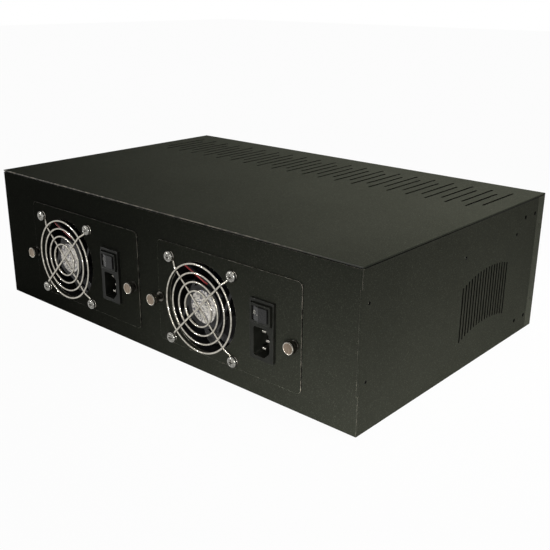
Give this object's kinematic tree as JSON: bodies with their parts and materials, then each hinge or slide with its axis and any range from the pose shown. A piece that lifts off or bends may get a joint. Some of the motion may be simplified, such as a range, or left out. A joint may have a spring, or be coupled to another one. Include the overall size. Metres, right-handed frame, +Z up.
{
  "type": "media converter chassis",
  "caption": "Rack-width steel chassis for media converter cards, with slide-in power modules, fans behind wire guards, switched mains inlets and a slotted cover.",
  "frame": {"origin": "middle of the base's underside, halfway between the sides and between the rear panel and the front face", "axes": "+X across the chassis to the right as seen from the rear, -Y out of the rear panel with the power modules, +Y out of the card bay, +Z up"},
  "size_m": [0.44, 0.294, 0.128],
  "materials": {
    "black_powder_coat": "fine-grained satin powder coat",
    "zinc_plated_sheet": "zinc-plated sheet steel",
    "circuit_board": "green solder mask over glass-fibre laminate",
    "plated_hardware": "bright nickel plate",
    "black_moulding": "moulded black thermoplastic",
    "white_moulding": "natural nylon",
    "transformer_tape": "yellow polyester tape over ferrite",
    "capacitor_sleeve": "shrunk sleeve",
    "bare_aluminium": "extruded",
    "fan_plastic": "glass-filled black plastic",
    "silver_foil": "bare foil label",
    "chromed_wire": "bright chrome plate",
    "red_insulation": "wire insulation",
    "brown_insulation": "wire insulation",
    "switch_gloss": "polished black plastic",
    "nickel_brass": "warm nickel over brass, knurled"
  },
  "bodies": {
    "chassis": {"base_pan": "black_powder_coat", "side_panel_left": "black_powder_coat", "side_panel_right": "black_powder_coat", "rear_panel": "black_powder_coat", "top_cover": "black_powder_coat", "front_frame": "black_powder_coat", "bulkhead": "zinc_plated_sheet", "backplane_board": "circuit_board", "backplane_standoffs": "plated_hardware", "card_sockets": "black_moulding", "dock_sockets": "black_moulding", "card_tray_lower": "zinc_plated_sheet", "card_tray_upper": "zinc_plated_sheet", "card_guides_lower": "black_moulding", "card_guides_upper": "black_moulding", "module_rails": "zinc_plated_sheet", "clinch_nuts": "plated_hardware"},
    "power_module_left": {"psu_plate_left": "black_powder_coat", "psu_tray_left": "zinc_plated_sheet", "psu_lid_left": "zinc_plated_sheet", "psu_board_left": "circuit_board", "transformer_left": "transformer_tape", "capacitors_left": "capacitor_sleeve", "heatsinks_left": "bare_aluminium", "dock_plug_left": "white_moulding", "fan_frame_left": "fan_plastic", "fan_label_left": "silver_foil", "fan_guard_left": "chromed_wire", "guard_screws_left": "chromed_wire", "fan_lead_left": "red_insulation", "inlet_housing_left": "black_moulding", "inlet_pins_left": "plated_hardware", "mains_leads_left": "brown_insulation", "screw_collars_left": "plated_hardware"},
    "fan_rotor_left": {"fan_rotor_left": "fan_plastic"},
    "rocker_left": {"rocker_left": "switch_gloss"},
    "thumbscrew_left_1": {"thumbscrew_left_1": "nickel_brass"},
    "thumbscrew_left_2": {"thumbscrew_left_2": "nickel_brass"},
    "power_module_right": {"psu_plate_right": "black_powder_coat", "psu_tray_right": "zinc_plated_sheet", "psu_lid_right": "zinc_plated_sheet", "psu_board_right": "circuit_board", "transformer_right": "transformer_tape", "capacitors_right": "capacitor_sleeve", "heatsinks_right": "bare_aluminium", "dock_plug_right": "white_moulding", "fan_frame_right": "fan_plastic", "fan_label_right": "silver_foil", "fan_guard_right": "chromed_wire", "guard_screws_right": "chromed_wire", "fan_lead_right": "red_insulation", "inlet_housing_right": "black_moulding", "inlet_pins_right": "plated_hardware", "mains_leads_right": "brown_insulation", "screw_collars_right": "plated_hardware"},
    "fan_rotor_right": {"fan_rotor_right": "fan_plastic"},
    "rocker_right": {"rocker_right": "switch_gloss"},
    "thumbscrew_right_1": {"thumbscrew_right_1": "nickel_brass"},
    "thumbscrew_right_2": {"thumbscrew_right_2": "nickel_brass"}
  },
  "joints": [
    {"name": "module_slide_left", "type": "slide", "parent": "chassis", "child": "power_module_left", "axis": [0, -1, 0], "range_m": [0, 0.12]},
    {"name": "fan_spin_left", "type": "hinge", "parent": "power_module_left", "child": "fan_rotor_left", "pos_m": [-0.1171, -0.128, 0.058], "axis": [0, -1, 0], "continuous": true},
    {"name": "rocker_tilt_left", "type": "hinge", "parent": "power_module_left", "child": "rocker_left", "pos_m": [-0.0499, -0.1426, 0.07185], "axis": [0, 0, 1], "range_deg": [0, 14]},
    {"name": "thumbscrew_turn_left_1", "type": "hinge", "parent": "power_module_left", "child": "thumbscrew_left_1", "pos_m": [-0.16665, -0.1414, 0.055], "axis": [0, -1, 0], "range_deg": [0, 1440]},
    {"name": "thumbscrew_turn_left_2", "type": "hinge", "parent": "power_module_left", "child": "thumbscrew_left_2", "pos_m": [-0.01905, -0.1414, 0.055], "axis": [0, -1, 0], "range_deg": [0, 1440]},
    {"name": "module_slide_right", "type": "slide", "parent": "chassis", "child": "power_module_right", "axis": [0, -1, 0], "range_m": [0, 0.12]},
    {"name": "fan_spin_right", "type": "hinge", "parent": "power_module_right", "child": "fan_rotor_right", "pos_m": [0.0659, -0.128, 0.058], "axis": [0, -1, 0], "continuous": true},
    {"name": "rocker_tilt_right", "type": "hinge", "parent": "power_module_right", "child": "rocker_right", "pos_m": [0.1331, -0.1426, 0.07185], "axis": [0, 0, 1], "range_deg": [0, 14]},
    {"name": "thumbscrew_turn_right_1", "type": "hinge", "parent": "power_module_right", "child": "thumbscrew_right_1", "pos_m": [0.01635, -0.1414, 0.055], "axis": [0, -1, 0], "range_deg": [0, 1440]},
    {"name": "thumbscrew_turn_right_2", "type": "hinge", "parent": "power_module_right", "child": "thumbscrew_right_2", "pos_m": [0.16395, -0.1414, 0.055], "axis": [0, -1, 0], "range_deg": [0, 1440]}
  ]
}
